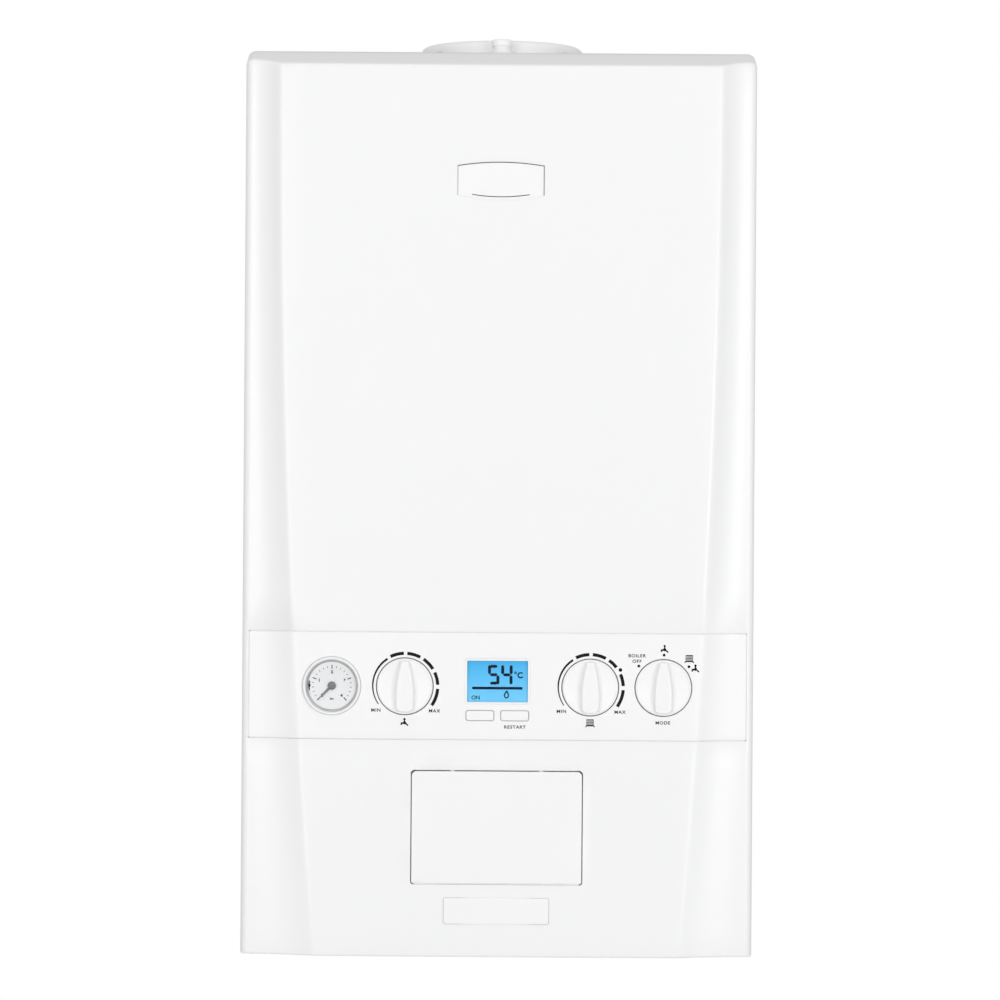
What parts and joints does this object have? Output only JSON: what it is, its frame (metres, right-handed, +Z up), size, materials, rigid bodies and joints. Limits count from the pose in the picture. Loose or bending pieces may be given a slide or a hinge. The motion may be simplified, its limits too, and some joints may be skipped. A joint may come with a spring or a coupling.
{
  "type": "combi boiler",
  "caption": "Wall-hung combination gas boiler with a lift-off front, hinged control box, rotary controls, display, pressure gauge and concentric flue turret.",
  "frame": {"origin": "on the wall plane, at the middle of the lower edge of the case", "axes": "+Z up, +Y towards the wall, the front faces -Y, +X to the right seen from the front"},
  "size_m": [0.395, 0.289, 0.7175],
  "materials": {
    "white_case": "white baked powder paint, semi gloss",
    "white_plastic": "white moulded ABS, fine satin",
    "galvanised_steel": "zinc coated sheet steel",
    "copper": "bright drawn copper tube",
    "brass": "forged and machined brass",
    "cast_aluminium": "sand cast aluminium",
    "stainless_steel": "stainless steel sheet",
    "cast_iron_dark": "dark painted cast iron",
    "black_plastic": "black glass filled plastic",
    "black_rubber": "EPDM rubber",
    "ceramic_white": "alumina ceramic",
    "red_paint": "red stoved paint on steel",
    "red_plastic": "red moulded plastic",
    "board_green": "green solder mask on glass fibre board",
    "display_blue": "blue backlit liquid crystal display",
    "clear_window": "clear moulded polycarbonate",
    "dial_grey": "pale grey printed dial"
  },
  "bodies": {
    "chassis": {"top_panel": "white_case", "left_side_panel": "white_case", "right_side_panel": "white_case", "panel_clips": "galvanised_steel", "wall_bracket": "galvanised_steel", "bottom_tray": "galvanised_steel", "back_panel": "galvanised_steel", "gaskets": "black_rubber", "flue_turret": "white_plastic", "sampling_cap": "white_plastic", "screws_and_nuts": "galvanised_steel", "flue_duct": "white_plastic", "heat_exchanger": "cast_aluminium", "support_rails": "galvanised_steel", "sump": "black_plastic", "combustion_cover": "cast_aluminium", "burner": "stainless_steel", "ignition_electrode": "ceramic_white", "fan_housing": "cast_aluminium", "fan_cover": "galvanised_steel", "fan_motor": "black_plastic", "venturi": "cast_aluminium", "gas_valve": "cast_aluminium", "gas_pipes": "copper", "expansion_vessel": "red_paint", "plate_heat_exchanger": "stainless_steel", "diverter_motor": "black_plastic", "pump_body": "cast_iron_dark", "pump_motor": "black_plastic", "air_vent": "brass", "relief_valve": "brass", "flow_pipe": "copper", "return_pipe": "copper", "vessel_hose": "black_rubber", "condensate_trap": "white_plastic", "tail_pipes": "copper", "flow_manifold": "brass", "return_manifold": "brass"},
    "front_panel": {"front_panel": "white_case", "timer_frame": "white_plastic"},
    "timer_cover": {"timer_cover": "white_plastic"},
    "control_box": {"control_box": "white_plastic", "fascia": "white_plastic", "circuit_board": "board_green", "display_module": "display_blue", "display_window": "clear_window", "gauge_case": "white_plastic", "gauge_dial": "dial_grey", "gauge_lens": "clear_window", "knob_switches": "black_plastic"},
    "hot_water_knob": {"hot_water_knob": "white_plastic"},
    "heating_knob": {"heating_knob": "white_plastic"},
    "mode_knob": {"mode_knob": "white_plastic"},
    "left_button": {"left_button": "white_plastic"},
    "restart_button": {"restart_button": "white_plastic"},
    "gauge_needle": {"gauge_needle": "black_plastic"},
    "fan_impeller": {"fan_impeller": "cast_aluminium"},
    "pump_impeller": {"pump_impeller": "black_plastic"},
    "relief_knob": {"relief_knob": "red_plastic"},
    "diverter_stem": {"diverter_stem": "brass"}
  },
  "joints": [
    {"name": "front_panel_slide", "type": "slide", "parent": "chassis", "child": "front_panel", "axis": [0, -1, 0], "range_m": [0, 0.45]},
    {"name": "timer_cover_hinge", "type": "hinge", "parent": "front_panel", "child": "timer_cover", "pos_m": [0, -0.2728, 0.0609], "axis": [1, 0, 0], "range_deg": [0, 90]},
    {"name": "control_box_hinge", "type": "hinge", "parent": "chassis", "child": "control_box", "pos_m": [0, -0.2, 0.038], "axis": [1, 0, 0], "range_deg": [0, 90]},
    {"name": "hot_water_knob_turn", "type": "hinge", "parent": "control_box", "child": "hot_water_knob", "pos_m": [-0.0713, -0.278, 0.2078], "axis": [0, 1, 0], "range_deg": [-125, 125]},
    {"name": "heating_knob_turn", "type": "hinge", "parent": "control_box", "child": "heating_knob", "pos_m": [0.0713, -0.278, 0.2078], "axis": [0, 1, 0], "range_deg": [-125, 125]},
    {"name": "mode_knob_turn", "type": "hinge", "parent": "control_box", "child": "mode_knob", "pos_m": [0.1275, -0.278, 0.2078], "axis": [0, 1, 0], "range_deg": [-50, 50]},
    {"name": "left_button_press", "type": "slide", "parent": "control_box", "child": "left_button", "axis": [0, 1, 0], "range_m": [0, 0.0012], "stiffness_N_per_m": 900, "springref_m": -0.0006},
    {"name": "restart_button_press", "type": "slide", "parent": "control_box", "child": "restart_button", "axis": [0, 1, 0], "range_m": [0, 0.0012], "stiffness_N_per_m": 900, "springref_m": -0.0006},
    {"name": "gauge_needle_turn", "type": "hinge", "parent": "control_box", "child": "gauge_needle", "pos_m": [-0.1275, -0.278, 0.2078], "axis": [0, 1, 0], "range_deg": [0, 270]},
    {"name": "fan_impeller_spin", "type": "hinge", "parent": "chassis", "child": "fan_impeller", "pos_m": [-0.088, -0.1635, 0.624], "axis": [0, 1, 0], "continuous": true},
    {"name": "pump_impeller_spin", "type": "hinge", "parent": "chassis", "child": "pump_impeller", "pos_m": [0.128, -0.139, 0.142], "axis": [0, 1, 0], "continuous": true},
    {"name": "relief_knob_turn", "type": "hinge", "parent": "chassis", "child": "relief_knob", "pos_m": [0.096, -0.122, 0.076], "axis": [0, 1, 0], "range_deg": [0, 90]},
    {"name": "diverter_stem_lift", "type": "slide", "parent": "chassis", "child": "diverter_stem", "axis": [0, 0, 1], "range_m": [0, 0.008]}
  ],
  "couplings": [
    {"joint": "control_box_hinge", "follows": "front_panel_slide", "rad_per_m": 3.49}
  ]
}
